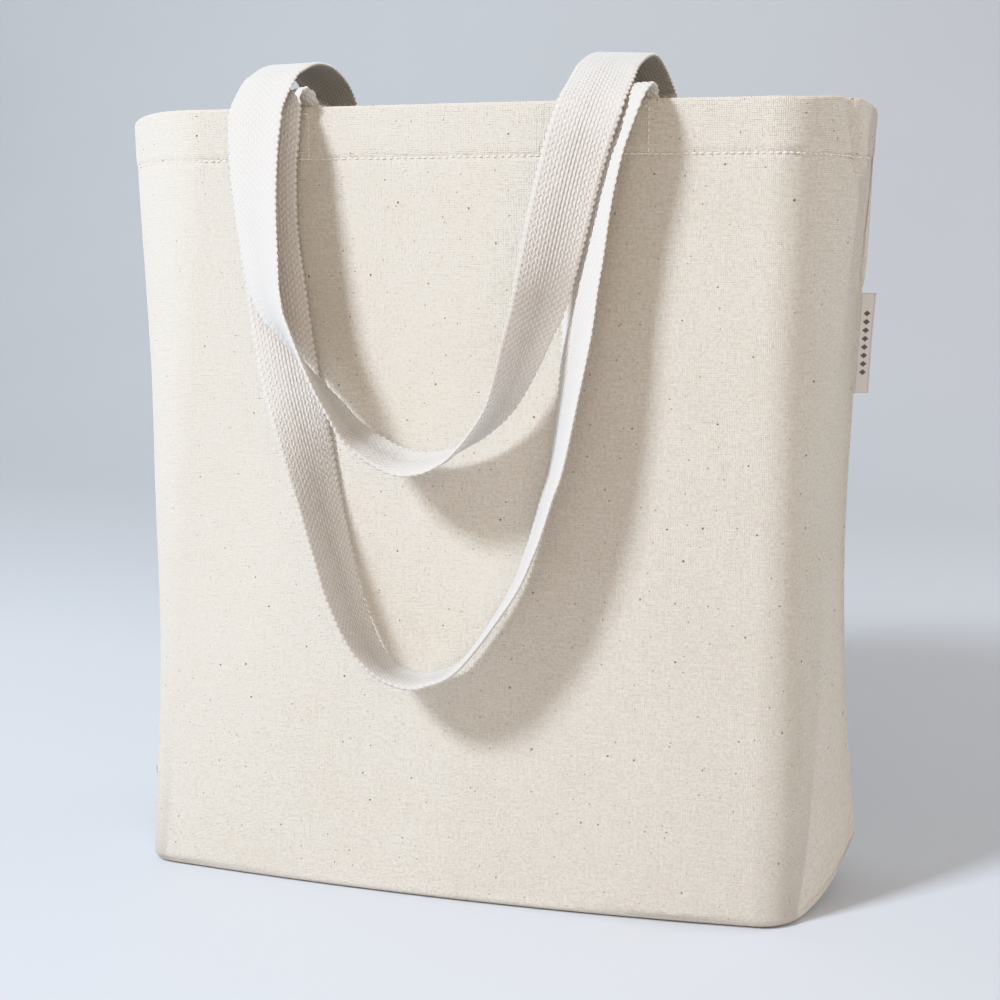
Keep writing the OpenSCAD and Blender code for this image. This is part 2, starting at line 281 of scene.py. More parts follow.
def corner_crease(sign, depth, z):
    """The sharp crease that runs down from the rim into the right side seam, with a low ridge beside it."""
    low = 0.356
    high = 0.404
    start = 0.003
    reach = 0.028
    groove = 0.0022
    groove_width = 0.0032
    ridge = 0.0018
    ridge_width = 0.0045
    ridge_offset = 0.0075
    share = np.clip((z - low) / (high - low), 0, 1)
    away = depth - (start + reach * share ** 0.7)
    raised = ridge * np.exp(-((away + ridge_offset) / ridge_width) ** 2)
    sunk = groove * np.exp(-(away / groove_width) ** 2)
    return by_half(sign, 0.0, raised - sunk) * smooth((z - low) / 0.024)


def relief(sign, u, q, z, side):
    """How far the cloth stands out from the plain wall: waves, hem line and each panel's own fold."""
    fade = smooth((1 - q) / 0.08)
    depth = np.abs(section(q, z, side, sign)[1])
    if side == FRONT:
        own = corner_crease(sign, depth, z) * fade
    else:
        own = back_fullness(sign, depth, z)
    return (soft_waves(u, z, side) + hem_relief(u, z)) * fade + own


# ---------------------------------------------------------------- meshes
def make_object(name, points, faces, material, uv=None, attribute=None):
    mesh = bpy.data.meshes.new(name)
    points = np.asarray(points, dtype=np.float32).reshape(-1, 3)
    faces = np.asarray(faces, dtype=np.int32)
    mesh.vertices.add(len(points))
    mesh.vertices.foreach_set("co", points.ravel())
    mesh.loops.add(faces.size)
    mesh.loops.foreach_set("vertex_index", faces.ravel())
    mesh.polygons.add(len(faces))
    mesh.polygons.foreach_set("loop_start", np.arange(len(faces), dtype=np.int32) * faces.shape[1])
    mesh.polygons.foreach_set("use_smooth", np.ones(len(faces), dtype=bool))
    mesh.update(calc_edges=True)
    if uv is not None:
        layer = mesh.uv_layers.new(name="cloth")
        layer.data.foreach_set("uv", np.asarray(uv, dtype=np.float32).reshape(-1, 2)[faces.ravel()].ravel())
    if attribute is not None:
        data = mesh.attributes.new(name="grain", type="FLOAT", domain="POINT")
        data.data.foreach_set("value", np.asarray(attribute, dtype=np.float32).ravel())
    mesh.validate()
    obj = bpy.data.objects.new(name, mesh)
    bpy.context.scene.collection.objects.link(obj)
    mesh.materials.append(material)
    return obj


def grid_quads(rows, columns, first=0, flip=False):
    i, j = np.meshgrid(np.arange(rows - 1), np.arange(columns - 1), indexing="ij")
    a = (first + i * columns + j).ravel()
    quads = np.stack([a, a + 1, a + columns + 1, a + columns], axis=1)
    return quads[:, ::-1] if flip else quads


def shell_faces(rows, columns):
    """Quads of two equal grids, one behind the other, closed along their four borders."""
    back = rows * columns
    border = np.concatenate([
        np.arange(columns),
        np.arange(1, rows) * columns + columns - 1,
        (rows - 1) * columns + np.arange(columns - 2, -1, -1),
        np.arange(rows - 2, 0, -1) * columns,
    ])
    following = np.roll(border, -1)
    rim = np.stack([border, border + back, following + back, following], axis=1)
    return np.concatenate([grid_quads(rows, columns), grid_quads(rows, columns, back, True), rim])


def grid_normals(grid):
    rows = np.gradient(grid, axis=0)
    columns = np.gradient(grid, axis=1)
    return unit(np.cross(columns, rows))


def cloth(name, centre, thickness, uv, material, flip):
    """Closed cloth of a given thickness around a grid of centre points."""
    normals = grid_normals(centre) * (-1 if flip else 1)
    points = np.concatenate([centre + normals * thickness / 2, centre - normals * thickness / 2])
    rows, columns = centre.shape[:2]
    faces = shell_faces(rows, columns)
    if flip:
        faces = faces[:, ::-1]
    return make_object(name, points, faces, material, np.concatenate([uv, uv]))


def ribbon(name, centre, across, half_width, top, bottom, columns, material, length, attribute=None):
    """Closed ribbon: columns run from -1 to 1 across it, top and bottom are its heights off the centre."""
    along = unit(np.gradient(centre, axis=0))
    normal = np.cross(along, across)
    side = centre[:, None, :] + across[:, None, :] * (half_width[:, None] * columns[None, :])[..., None]
    upper = side + normal[:, None, :] * top[..., None]
    lower = side - normal[:, None, :] * bottom[..., None]
    uv = xyz(half_width[:, None] * columns[None, :], length[:, None], 0)[..., :2]
    grain = None if attribute is None else np.concatenate([attribute[0], attribute[1]])
    faces = shell_faces(len(centre), len(columns))
    points = np.concatenate([upper, lower])
    return make_object(name, points, faces, material, np.concatenate([uv, uv]), grain)


# ---------------------------------------------------------------- materials
class Material:
    """A node tree around one Principled shader, with short calls for the nodes used here."""

    def __init__(self, name, roughness, sheen=0.0, specular=0.3):
        self.data = bpy.data.materials.new(name)
        self.data.use_nodes = True
        self.tree = self.data.node_tree
        self.shader = self.tree.nodes["Principled BSDF"]
        self.shader.inputs["Roughness"].default_value = roughness
        self.shader.inputs["Specular IOR Level"].default_value = specular
        self.shader.inputs["Sheen Weight"].default_value = sheen
        self.shader.inputs["Sheen Roughness"].default_value = 0.6

    def node(self, kind, **values):
        made = self.tree.nodes.new(kind)
        for key, value in values.items():
            setattr(made, key, value)
        return made

    def feed(self, socket, value):
        if isinstance(value, bpy.types.NodeSocket):
            self.tree.links.new(value, socket)
        else:
            socket.default_value = value

    def math(self, operation, *values):
        made = self.node("ShaderNodeMath", operation=operation)
        for socket, value in zip(made.inputs, values):
            self.feed(socket, value)
        return made.outputs[0]

    def span(self, value, low, high, new_low=0.0, new_high=1.0):
        made = self.node("ShaderNodeMapRange", interpolation_type="SMOOTHSTEP")
        for socket, item in zip(made.inputs, (value, low, high, new_low, new_high)):
            self.feed(socket, item)
        return made.outputs[0]

    def blend(self, share, first, second):
        made = self.node("ShaderNodeMix", data_type="RGBA", blend_type="MIX")
        self.feed(made.inputs["Factor"], share)
        self.feed(made.inputs[6], first)
        self.feed(made.inputs[7], second)
        return made.outputs[2]

    def uv(self):
        return self.node("ShaderNodeUVMap", uv_map="cloth").outputs[0]

    def place(self):
        return self.node("ShaderNodeTexCoord").outputs["Object"]

    def scaled(self, vector, x, y, z=1.0):
        made = self.node("ShaderNodeMapping")
        self.feed(made.inputs["Vector"], vector)
        made.inputs["Scale"].default_value = (x, y, z)
        return made.outputs[0]

    def noise(self, vector, scale, detail=3.0, roughness=0.55):
        made = self.node("ShaderNodeTexNoise")
        self.feed(made.inputs["Vector"], vector)
        made.inputs["Scale"].default_value = scale
        made.inputs["Detail"].default_value = detail
        made.inputs["Roughness"].default_value = roughness
        return made.outputs["Fac"]

    def wobble(self, vector, scale, amount):
        """The vector pushed about a little, so that threads aren't ruler straight."""
        made = self.node("ShaderNodeTexNoise")
        self.feed(made.inputs["Vector"], vector)
        made.inputs["Scale"].default_value = scale
        centre = self.node("ShaderNodeVectorMath", operation="SUBTRACT")
        self.feed(centre.inputs[0], made.outputs["Color"])
        centre.inputs[1].default_value = (0.5, 0.5, 0.5)
        push = self.node("ShaderNodeVectorMath", operation="MULTIPLY_ADD")
        self.feed(push.inputs[0], centre.outputs[0])
        push.inputs[1].default_value = (amount, amount, amount)
        self.feed(push.inputs[2], vector)
        return push.outputs[0]

    def parts(self, vector):
        made = self.node("ShaderNodeSeparateXYZ")
        self.feed(made.inputs[0], vector)
        return made.outputs

    def bump(self, height, distance, strength=1.0):
        made = self.node("ShaderNodeBump")
        made.inputs["Strength"].default_value = strength
        made.inputs["Distance"].default_value = distance
        self.feed(made.inputs["Height"], height)
        return made.outputs[0]

    def finish(self, colour, normal=None):
        self.feed(self.shader.inputs["Base Color"], colour)
        if normal is not None:
            self.feed(self.shader.inputs["Normal"], normal)
        return self.data


def canvas_material():
    """Natural unbleached plain weave with slubs, faint blotches and seed flecks, and painted shade in the
    hollows of the weave.
    """
    m = Material("natural_canvas", 0.95, sheen=0.1, specular=0.12)
    pitch = 0.0008
    uv = m.uv()
    bent = m.wobble(uv, 260.0, 0.0011)
    x, y, _ = m.parts(bent)
    warp = m.math("SINE", m.math("MULTIPLY", x, math.pi / pitch))
    weft = m.math("SINE", m.math("MULTIPLY", y, math.pi / pitch))
    crossing = m.math("MULTIPLY", warp, weft)
    pillow = m.math("POWER", m.math("ABSOLUTE", crossing), 0.6)
    slub_weft = m.noise(m.scaled(uv, 130.0, 1000.0), 1.0, 2.0)
    slub_warp = m.noise(m.scaled(uv, 1400.0, 30.0), 1.0, 2.0)
    fine = m.noise(uv, 620.0, 3.0)
    blotch = m.noise(uv, 22.0, 4.0)
    over = m.math("MULTIPLY", m.math("SIGN", crossing), 0.06)
    yarn = m.math("ADD", m.math("MULTIPLY", pillow, 0.7), over)
    slubs = m.math("ADD", m.math("MULTIPLY", slub_weft, 0.8), m.math("MULTIPLY", slub_warp, 0.12))
    height = m.math("ADD", m.math("ADD", yarn, slubs), m.math("MULTIPLY", fine, 1.3))

    base = m.blend(m.span(blotch, 0.35, 0.7), (0.83, 0.785, 0.705, 1), (0.81, 0.757, 0.67, 1))
    streaky = m.blend(m.span(slub_weft, 0.4, 0.66, 0.0, 0.6), base, (0.88, 0.85, 0.79, 1))
    streaky = m.blend(m.span(slub_warp, 0.4, 0.75, 0.0, 0.12), streaky, (0.70, 0.635, 0.54, 1))
    mottled = m.blend(m.span(fine, 0.36, 0.6, 0.36, 0.0), streaky, (0.60, 0.53, 0.44, 1))
    # painted shade: the cloth is darkened to brown where its threads dip, in the hollows between them
    groove_shade = m.blend(m.span(pillow, 0.0, 0.5, 0.45, 0.0), mottled, (0.56, 0.49, 0.40, 1))

    def flecks(size, keep, radius, tint, share, under):
        cell = m.node("ShaderNodeTexVoronoi", voronoi_dimensions="2D")
        m.feed(cell.inputs["Vector"], m.wobble(uv, 1500.0, 0.0006))
        cell.inputs["Scale"].default_value = 1 / size
        red, green, _ = m.parts(cell.outputs["Color"])
        reach = m.math("MULTIPLY", green, radius / size)
        spot = m.math("LESS_THAN", cell.outputs["Distance"], reach)
        chosen = m.math("GREATER_THAN", red, keep)
        return m.blend(m.math("MULTIPLY", m.math("MULTIPLY", spot, chosen), share), under, tint)

    spotted = flecks(0.017, 0.35, 0.00062, (0.10, 0.055, 0.03, 1), 0.75, groove_shade)
    spotted = flecks(0.008, 0.4, 0.00048, (0.30, 0.20, 0.12, 1), 0.65, spotted)
    return m.finish(spotted, m.bump(height, 0.00045, 1.0))


def webbing_material():
    """White cotton webbing: its grains are in the mesh, their threads are here, with painted shade in the
    grooves between the grains.
    """
    m = Material("cotton_webbing", 0.9, sheen=0.15, specular=0.12)
    uv = m.uv()
    grain = m.node("ShaderNodeAttribute", attribute_name="grain").outputs["Fac"]
    thread = m.noise(m.scaled(uv, 3200.0, 500.0), 1.0, 3.0, 0.6)
    soil = m.noise(uv, 60.0, 3.0)
    base = m.blend(m.span(soil, 0.3, 0.7), (0.93, 0.91, 0.88, 1), (0.91, 0.885, 0.85, 1))
    # painted shade: brown-grey in the grooves between the grains, where the grain height is low
    groove_shade = m.blend(m.span(grain, 0.1, 1.0, 0.62, 0.0), base, (0.50, 0.445, 0.385, 1))
    return m.finish(groove_shade, m.bump(m.math("ADD", thread, m.math("MULTIPLY", grain, 2.0)), 0.00028, 1.0))


def thread_material():
    """Twisted cotton sewing thread."""
    m = Material("sewing_thread", 0.75, sheen=0.2)
    place = m.place()
    twist = m.noise(m.scaled(place, 2500.0, 2500.0, 4200.0), 1.0, 2.0)
    colour = m.blend(m.span(twist, 0.35, 0.65), (0.90, 0.865, 0.80, 1), (0.80, 0.755, 0.68, 1))
    return m.finish(colour, m.bump(twist, 0.0001, 0.6))


def overlock_material():
    """Canvas edge wrapped in overlock thread: slanted loops close together."""
    m = Material("overlocked_edge", 0.85, sheen=0.2)
    uv = m.uv()
    x, y, _ = m.parts(m.wobble(uv, 300.0, 0.0008))
    slant = m.math("ADD", m.math("MULTIPLY", y, 2 * math.pi / OVERLOCK_PITCH), m.math("MULTIPLY", x, 500.0))
    loops = m.span(m.math("SINE", slant), -0.6, 0.8)
    fuzz = m.noise(uv, 1500.0, 3.0)
    # painted shade: darker between the loops, in the valleys of the same pattern that makes the bump
    colour = m.blend(loops, (0.66, 0.60, 0.51, 1), (0.87, 0.84, 0.78, 1))
    return m.finish(colour, m.bump(m.math("ADD", loops, m.math("MULTIPLY", fuzz, 0.4)), 0.0004, 0.8))


def label_material():
    """Grey satin ribbon with fine ribs, woven edge lines and a plain row of diamonds for a mark."""
    m = Material("satin_label", 0.42, sheen=0.1, specular=0.5)
    rib_pitch = 0.00045
    line_inset = 0.0008
    uv = m.uv()
    x, y, _ = m.parts(uv)
    ribs = m.math("SINE", m.math("MULTIPLY", y, 2 * math.pi / rib_pitch))
    fine = m.noise(m.scaled(uv, 900.0, 4200.0), 1.0, 2.0)
    from_edge = m.math("SUBTRACT", LABEL_WIDTH / 2, m.math("ABSOLUTE", x))
    from_line = m.math("ABSOLUTE", m.math("SUBTRACT", from_edge, line_inset))
    edge_line = m.span(from_line, 0.00012, 0.0003, 0.4, 0.0)
    within = m.math("SUBTRACT", m.math("FRACT", m.math("DIVIDE", y, DIAMOND_PITCH)), 0.5)
    tall = m.math("ABSOLUTE", m.math("MULTIPLY", within, DIAMOND_PITCH * 1.25))
    diamond = m.span(m.math("ADD", tall, m.math("ABSOLUTE", x)), 0.0017, 0.0020, 1.0, 0.0)
    from_middle = m.math("ABSOLUTE", m.math("SUBTRACT", y, LABEL_LENGTH / 2))
    row = m.span(from_middle, 0.0165, 0.0169, 0.85, 0.0)
    mark = m.math("MULTIPLY", diamond, row)
    base = m.blend(m.span(fine, 0.3, 0.7), (0.70, 0.68, 0.665, 1), (0.63, 0.61, 0.60, 1))
    lined = m.blend(edge_line, base, (0.22, 0.21, 0.21, 1))
    marked = m.blend(mark, lined, (0.035, 0.032, 0.035, 1))
    return m.finish(marked, m.bump(m.math("ADD", ribs, fine), 0.00006, 0.5))


def backdrop_material():
    """Pale grey studio paper with a very faint unevenness."""
    m = Material("studio_paper", 0.55, specular=0.25)
    cloud = m.noise(m.place(), 1.6, 3.0)
    colour = m.blend(m.span(cloud, 0.3, 0.7), (0.655, 0.675, 0.71, 1), (0.67, 0.69, 0.725, 1))
    return m.finish(colour)


# ---------------------------------------------------------------- canvas
def panel_columns(side):
    """Signs, section parameters and distances along the cloth, even at half height."""
    halves = {}
    for sign in (-1.0, 1.0):
        fine, arc = arc_table(HEIGHT / 2, side, sign)
        steps = np.linspace(0, arc[-1], HALF_COLUMNS + 1)
        halves[sign] = np.interp(steps, arc, fine), steps
    left_q, left_u = halves[-1.0]
    right_q, right_u = halves[1.0]
    sign = np.concatenate([-np.ones(HALF_COLUMNS), np.ones(HALF_COLUMNS + 1)])
    return sign, np.concatenate([left_q[:0:-1], right_q]), np.concatenate([-left_u[:0:-1], right_u])


def base_rows(sign, q, side):
    """Centre of the cloth from the base's middle seam to the fold at the foot of the wall."""
    upturn = 0.0008
    sharpest = 0.001
    floor_rows = 25
    foot = foot_z(q)
    x, y = section(q, foot, side, sign)
    depth = np.abs(y)
    fold = np.minimum(mix(EDGE_ROUND, sharpest, boxed(q)), (depth - MEETING) * 0.5)
    turn = np.minimum(upturn, (depth - MEETING) * 0.35)
    level = foot + CANVAS / 2
    rows = [xyz(sign * x, side * MEETING, level + turn + upturn)]
    for angle in np.radians([90, 60, 30, 0]):
        turned_y = side * (MEETING + turn * (1 - math.sin(angle)))
        rows.append(xyz(sign * x, turned_y, level + turn * (1 - math.cos(angle))))
    for share in np.linspace(0, 1, floor_rows + 1)[1:]:
        rows.append(xyz(sign * x, side * mix(MEETING + turn, depth - fold, share), level))
    wall = wall_point(sign, q, foot + fold, side)
    wall = wall - wall_normal(sign, q, foot + fold, side) * CANVAS / 2
    last = rows[-1]
    for angle in np.radians([15, 30, 45, 60, 75]):
        outward = math.sin(angle)
        upward = 1 - math.cos(angle)
        rows.append(xyz(mix(last[:, 0], wall[:, 0], outward),
                        mix(last[:, 1], wall[:, 1], outward),
                        mix(last[:, 2], wall[:, 2], upward)))
    return rows, foot + fold


def turned_in(grid, hem, side):
    """Extra columns beyond each side seam, where the cloth turns into the bag."""
    def edge(column, sign):
        away = np.abs(column[:, 1])
        radius = np.maximum(away - MEETING, 0.0001)
        inward = np.where(hem, 0.0, 1.0)
        made = []
        for angle in np.radians([30, 60, 90]):
            x = column[:, 0] - sign * radius * (1 - math.cos(angle)) * mix(0.3, 1.0, inward)
            made.append(xyz(x, side * (away - radius * math.sin(angle)), column[:, 2]))
        for more in (0.0007, 0.0015):
            made.append(made[2] - xyz(sign * more * inward, 0, 0))
        return made

    left = edge(grid[:, 0], -1)
    right = edge(grid[:, -1], 1)
    return np.stack(left[::-1] + list(np.moveaxis(grid, 1, 0)) + right, axis=1)


def row_shares():
    """Heights of the wall's rows as shares of the wall, closer together around the hem stitching."""
    even = np.linspace(0, 1, WALL_ROWS + 1)
    line = 1 - STITCH_LINE / HEIGHT
    low = line - 0.020
    high = line + 0.016
    step = 0.0013
    return np.concatenate([even[even < low - step], np.arange(low, high, step), even[even > high + step]])


def make_panel(node, hem_node, side, material):
    """One panel from the middle of the base up to the rim, and down again as the turned hem."""
    sign, q, u = panel_columns(side)
    rows, foot = base_rows(sign, q, side)
    roll = (CANVAS + LAYER_GAP) / 2
    crest = rim_z(q, sign) - CANVAS / 2 - roll

    def at(z, depth, lift=0.0):
        normal = wall_normal(sign, q, z, side)
        out = relief(sign, u, q, z, side) - depth
        return wall_point(sign, q, z, side) + normal * out[:, None] + xyz(0, 0, lift)

    for share in row_shares():
        rows.append(at(mix(foot, crest, share), CANVAS / 2))
    hem_from = len(rows)
    for angle in np.radians([30, 60, 90, 120, 150, 180]):
        rows.append(at(crest, CANVAS / 2 + roll * (1 - math.cos(angle)), roll * math.sin(angle)))
    for k in range(1, HEM_ROWS + 1):
        rows.append(at(crest - (HEM_DEPTH - 0.001) * k / HEM_ROWS, CANVAS / 2 + 2 * roll))
    grid = np.stack(rows)
    level = grid[:, grid.shape[1] // 2, 2]
    hem = (np.arange(len(rows)) >= hem_from) | (level > HEIGHT - HEM_DEPTH)
    grid = turned_in(grid, hem, side)
    along = path_length(grid[:, grid.shape[1] // 2])
    beyond = np.arange(1, TURNED_COLUMNS + 1) * TURNED_STEP
    across = np.concatenate([u[0] - beyond[::-1], u, u[-1] + beyond])
    uv = xyz(across[None, :], along[:, None], 0)[..., :2]
    panel = cloth(node + "_cloth", grid, CANVAS, uv, material, side == BACK)
    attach(panel, "bag")
    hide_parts(node, hem_node)


# ---------------------------------------------------------------- sewing
def stitches(node, pairs, outs, material):
    """One short bowed tube for each stitch, its ends going down into the cloth."""
    sides = 6
    rings = 7
    end_width = 0.55
    start, end = np.asarray(pairs, dtype=float).transpose(1, 0, 2)
    outs = unit(np.asarray(outs, dtype=float))
    along = unit(end - start)
    across = unit(np.cross(along, outs))
    turn = np.linspace(0, 2 * math.pi, sides, endpoint=False)
    points = []
    for share in np.linspace(0, 1, rings):
        arch = math.sin(math.pi * share) ** 0.5 if 0 < share < 1 else 0.0
        centre = mix(start, end, share) + outs * mix(-STITCH_SINK, STITCH_LIFT, arch)
        radius = STITCH_RADIUS * mix(end_width, 1.0, arch)
        for angle in turn:
            points.append(centre + (across * math.cos(angle) + outs * math.sin(angle)) * radius)
    points = np.stack(points, axis=1)
    faces = []
    for ring in range(rings - 1):
        for k in range(sides):
            a = ring * sides + k
            b = ring * sides + (k + 1) % sides
            faces.append([a, a + sides, b + sides, b])
    last = (rings - 1) * sides
    for cap in ([0, 1, 2, 3], [0, 3, 4, 5]):
        faces.append(cap)
    for cap in ([3, 2, 1, 0], [5, 4, 3, 0]):
        faces.append([last + corner for corner in cap])
    faces = np.asarray(faces)
    offset = np.arange(len(start))[:, None, None] * rings * sides
    obj = make_object(node + "_thread", points, (faces[None] + offset).reshape(-1, 4), material)
    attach(obj, "bag")
    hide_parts(node)


def hem_stitches(name, side, material):
    """The row of stitches along the hem, outside and inside."""
    z = HEIGHT - STITCH_LINE
    pitch = 0.0035
    share = 0.74
    end_gap = 0.004
    pairs = []
    outs = []
    for depth, facing, shift in ((0.0, 1, 0.0), (2 * CANVAS + LAYER_GAP, -1, 0.5)):
        for sign in (-1.0, 1.0):
            fine, arc = arc_table(z, side, sign)
            count = int((arc[-1] - end_gap) / pitch)
            starts = (np.arange(count) + 0.1 + shift) * pitch
            ends = []
            for at in (starts, starts + pitch * share):
                q = np.interp(at, arc, fine)
                s = np.full_like(q, sign)
                u = sign * at
                normal = wall_normal(s, q, np.full_like(q, z), side)
                rise = relief(s, u, q, z, side) - depth
                ends.append(wall_point(s, q, np.full_like(q, z), side) + normal * rise[:, None])
            pairs.append(np.stack(ends, axis=1))
            outs.append(normal * facing)
    stitches(name, np.concatenate(pairs), np.concatenate(outs), material)


def face_y(x, z, side):
    """The outer surface's y at a given x and z."""
    fine = np.linspace(0, 1, SECTION_STEPS + 1)
    s = np.array([math.copysign(1.0, x)])
    xs, ys = section(fine, z, side, s)
    q = np.interp(abs(x), xs, fine)
    table, arc = arc_table(HEIGHT / 2, side, s)
    u = s * np.interp(q, table, arc)
    return float(np.interp(q, fine, ys) + side * relief(s, u, np.array([q]), z, side)[0])


def box_stitches(name, side, material):
    """Square of stitches that holds a handle's end: seen on the hem's outside and on the webbing inside."""
    pitch = 0.003
    share = 0.72
    first = 0.14
    low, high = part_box(name)
    left = low[0] + THREAD / 2
    right = high[0] - THREAD / 2
    bottom = low[2] + THREAD / 2
    top = high[2] - THREAD / 2
    inner_y = low[1] if side == FRONT else high[1]
    corners = [(left, bottom), (right, bottom), (right, top), (left, top), (left, bottom)]
    pairs = []
    outs = []
    for (ax, az), (bx, bz) in zip(corners, corners[1:]):
        length = math.hypot(bx - ax, bz - az)
        count = round(length / pitch)
        for k in range(count):
            marks = [(k + first) / count, (k + first + share) / count]
            spots = [(mix(ax, bx, t), mix(az, bz, t)) for t in marks]
            pairs.append([(x, face_y(x, z, side), z) for x, z in spots])
            outs.append((0, side, 0))
            pairs.append([(x, inner_y, z) for x, z in spots])
            outs.append((0, -side, 0))
    stitches(name, pairs, outs, material)


def overlocked(name, centre, across, half_width, material):
    """Allowance of two plies wrapped in thread, as a ribbon with rounded edges."""
    spacing = 0.0007
    half_thickness = 0.0011
    thread_rise = 0.00014
    edge_wave = 0.00018
    length = path_length(centre)
    steps = np.arange(0, length[-1], spacing)
    centre = np.stack([np.interp(steps, length, centre[:, k]) for k in range(3)], axis=1)
    across = unit(np.stack([np.interp(steps, length, across[:, k]) for k in range(3)], axis=1))
    columns = np.array([-1, -0.96, -0.85, -0.6, -0.3, 0, 0.3, 0.6, 0.85, 0.96, 1])
    round_off = np.sqrt(np.maximum(0.02, 1 - np.maximum(0, (np.abs(columns) - 0.8) / 0.2) ** 2))
    slant = 2 * math.pi * steps[:, None] / OVERLOCK_PITCH + 2.2 * columns[None, :]
    height = (half_thickness + thread_rise * np.sin(slant)) * round_off[None, :]
    wave = half_width + edge_wave * np.sin(2 * math.pi * steps / OVERLOCK_PITCH)
    obj = ribbon(name + "_overlock", centre, across, wave, height, height, columns, material, steps)
    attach(obj, "bag")
    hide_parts(name)


def make_side_seam(sign, name, material):
    low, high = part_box(name)
    z = np.linspace(low[2], high[2], 80)
    inset = SEAM_EDGE + 0.0015 + ALLOWANCE / 2
    centre = xyz(sign * (seam_x(z, sign) - inset), 0, z)
    overlocked(name, centre, xyz(np.full_like(z, sign), 0, 0), ALLOWANCE / 2, material)


def make_corner_seam(sign, name, material):
    """Allowance that follows a boxed corner inside, from the front round to the back."""
    first = 0.82
    rise = 0.0065 + CANVAS
    inward = 0.009
    narrower = 0.78
    q = np.linspace(first, 1, 30)
    rows = []
    for values, side in ((q, FRONT), (q[::-1][1:], BACK)):
        foot = foot_z(values)
        x, y = section(values, foot, side, sign)
        centred_y = np.where(np.abs(y) <= SEAM_EDGE, 0, y)
        rows.append(xyz(sign * (x - inward), centred_y * narrower, foot + rise))
    centre = np.concatenate(rows)
    up = unit(xyz(np.full(len(centre), -0.35 * sign), 0, 1))
    overlocked(name, centre, up, ALLOWANCE / 2, material)


def make_bottom_seam(name, material):
    low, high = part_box(name)
    lift = CANVAS + 0.0012
    x = np.linspace(low[0], high[0], 60)
    centre = xyz(x, 0, (lift + high[2]) / 2 + 0.0004)
    overlocked(name, centre, xyz(0 * x, 0, 1), (high[2] - lift) / 2, material)


# ---------------------------------------------------------------- webbing handles
def spline(route):
    """Catmull-Rom curve through a route of stations, with the same number of steps between each two."""
    steps = 24
    p = np.asarray(route, dtype=float)
    p = np.concatenate([[2 * p[0] - p[1]], p, [2 * p[-1] - p[-2]]])
    made = []
    for i in range(len(p) - 3):
        a, b, c, d = p[i:i + 4]
        for t in np.arange(steps) / steps:
            made.append(0.5 * (2 * b + (c - a) * t + (2 * a - 5 * b + 4 * c - d) * t * t
                               + (3 * b - a - 3 * c + d) * t ** 3))
    made.append(p[-2])
    return np.asarray(made)


# Stations of each handle from its left sewn end to its right one, as in the part's source:
# x, y and z in millimetres, then the turn and the tilt of the webbing's width in degrees
FRONT_ROUTE = [
    (-82, -60.7, 379, 0, 0), (-82, -60.7, 394, 0, 0), (-82, -60.7, 405, 0, 0),
    (-82.5, -62.8, 410.3, 1, 0), (-84, -66.8, 412.3, 4, 3), (-85.8, -71, 410.6, 9, 8),
    (-87.3, -74.2, 403.5, 15, 4), (-88.5, -74.6, 391, 19, 0), (-90, -74.8, 376, 20, 0),
    (-90, -75, 347, 22, 0), (-86.5, -75.3, 318, 23, 0), (-83, -75.8, 293, 25, 0), (-79, -77, 272, 30, -1),
    (-73, -79.8, 250, 42, -3), (-63, -83.3, 214, 60, -7), (-56.5, -84.2, 189, 66, -9),
    (-49.5, -85, 164, 70, -10), (-39, -85.8, 141, 76, -10), (-28, -86.4, 129.5, 84, -6),
    (-17, -86.6, 125.5, 90, -3), (-6, -86.6, 126.5, 95, -3), (11, -86.4, 136, 99, -7),
    (34.5, -85.7, 170, 107, -11), (45.5, -85.2, 195, 110, -11), (53, -84.7, 220, 112, -9),
    (57.5, -84.2, 236, 114, -8), (62.5, -83.2, 267, 119, -6), (65, -82.4, 286, 124, -4),
    (66.5, -81.6, 301, 129, -2), (67.8, -80.6, 319, 133, -1), (69.5, -80, 333, 135, 0),
    (73, -79.4, 360, 136, 1), (77, -78.8, 380, 137, 1), (79.5, -78, 390, 140, 1),
    (82.5, -75.7, 402, 147, 1), (84, -71.5, 409, 158, 0), (85, -66.8, 411.8, 170, 0),
    (85.3, -62.8, 409.8, 178, 0), (85.5, -61.2, 404, 180, 0), (85.5, -61.2, 394, 180, 0),
    (85.5, -61.2, 379, 180, 0),
]
